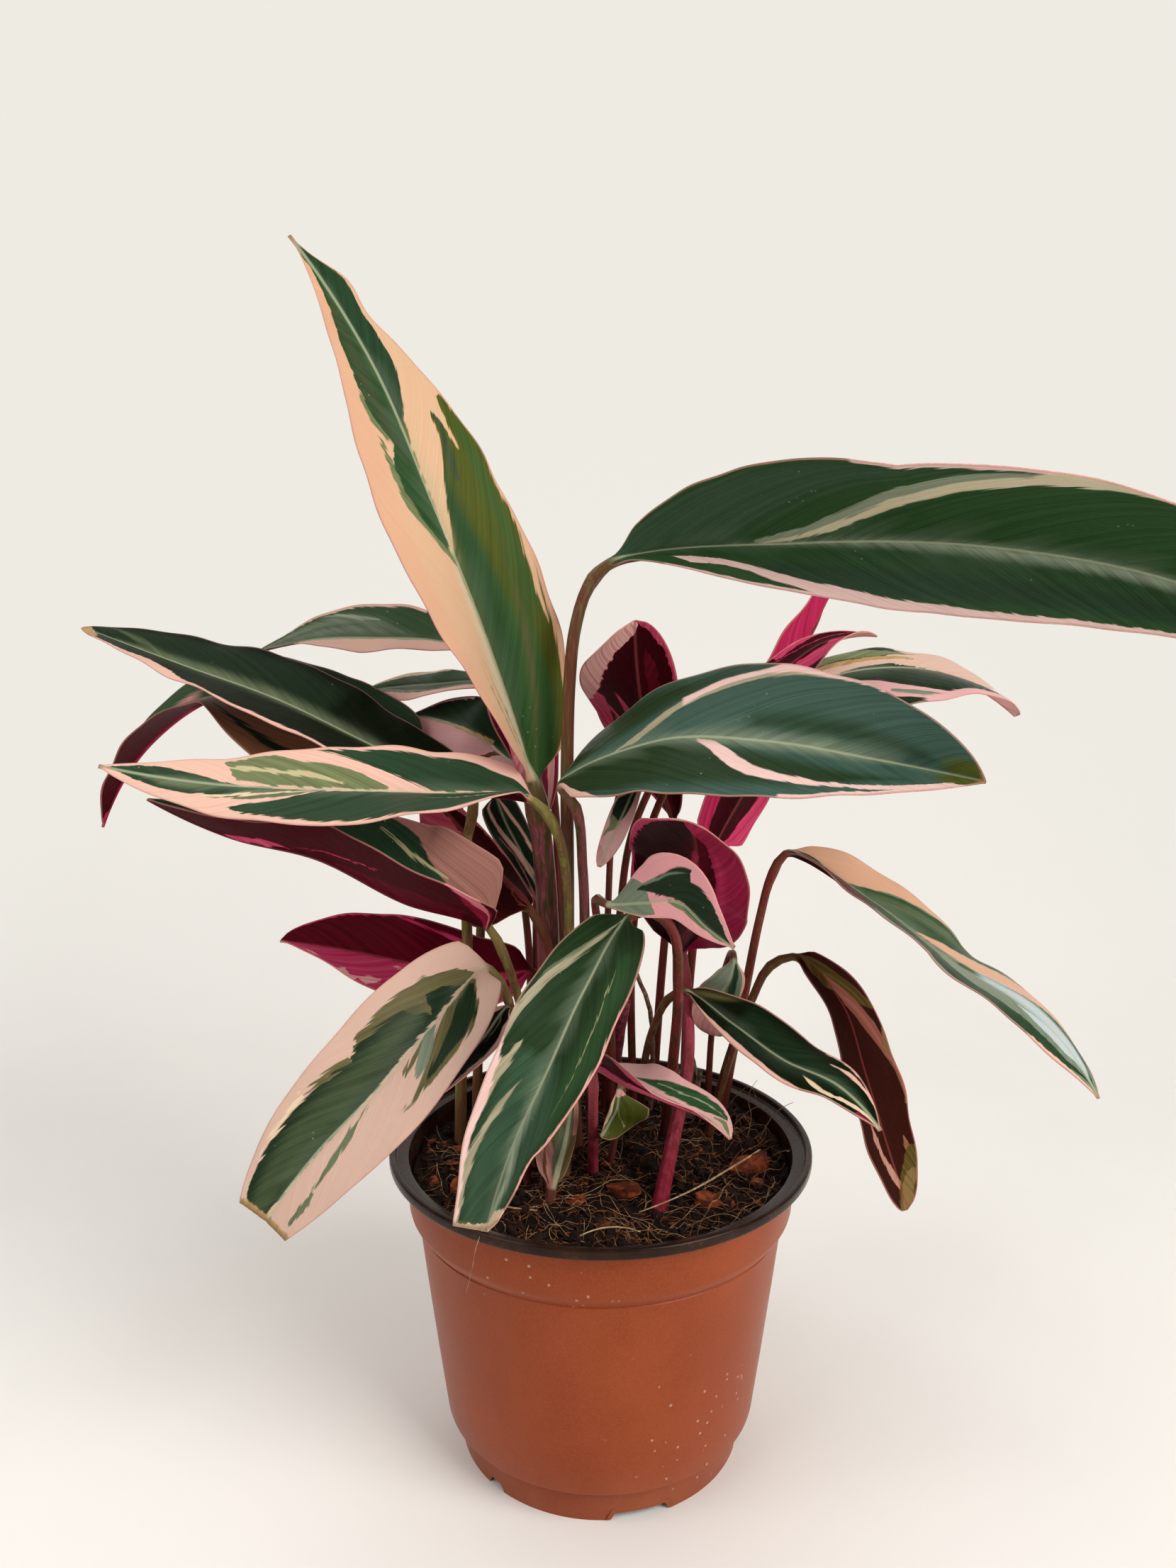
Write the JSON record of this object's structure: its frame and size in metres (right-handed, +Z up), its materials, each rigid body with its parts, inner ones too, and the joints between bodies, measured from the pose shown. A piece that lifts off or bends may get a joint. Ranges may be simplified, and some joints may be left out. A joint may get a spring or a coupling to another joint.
{
  "type": "potted stromanthe",
  "caption": "House plant with long pointed leaves streaked green, cream and pink, wine-red underneath, on slender stems in a terracotta-coloured plastic nursery pot.",
  "frame": {"origin": "centre of the flat underside of the pot, on the surface that it stands on", "axes": "+Z up through the plant, +X toward the side that the long arching leaf reaches to, +Y away from the side that faces the viewer"},
  "size_m": [0.4171, 0.2227, 0.4755],
  "materials": {
    "pot_plastic": "satin",
    "soil": "matte",
    "leaf_green": "satin",
    "leaf_purple": "satin",
    "dry_stem": "matte",
    "bark": "matte"
  },
  "bodies": {
    "root": {"pot": "pot_plastic", "soil": "soil", "upright_leaf": "leaf_green", "right_arching_leaf": "leaf_green", "left_upper_leaf": "leaf_green", "left_level_leaf": "leaf_green", "back_left_leaf": "leaf_green", "back_low_leaf": "leaf_green", "back_dark_leaf": "leaf_green", "low_left_leaf": "leaf_green", "narrow_dark_leaf": "leaf_green", "front_leaf": "leaf_green", "right_middle_leaf": "leaf_green", "right_back_leaf": "leaf_green", "right_long_leaf": "leaf_green", "right_front_leaf": "leaf_green", "small_pink_leaf": "leaf_green", "pale_hanging_leaf": "leaf_green", "small_grey_leaf": "leaf_green", "low_folded_leaf": "leaf_green", "striped_inner_leaf": "leaf_green", "small_green_leaf": "leaf_green", "brown_striped_leaf": "leaf_purple", "purple_backed_leaf": "leaf_purple", "dark_purple_leaf": "leaf_purple", "magenta_backed_leaf": "leaf_purple", "crimson_leaf": "leaf_purple", "crimson_upright_leaf": "leaf_purple", "rolled_crimson_leaf": "leaf_purple", "right_drooping_leaf": "leaf_purple", "round_crimson_leaf": "leaf_purple", "striped_sheath": "leaf_purple", "magenta_sheath": "leaf_purple", "cut_sheath": "leaf_purple", "withered_stem": "dry_stem", "dry_stub": "dry_stem", "bark_chip_1": "bark", "bark_chip_2": "bark", "bark_chip_3": "bark", "bark_chip_4": "bark"}
  },
  "joints": []
}
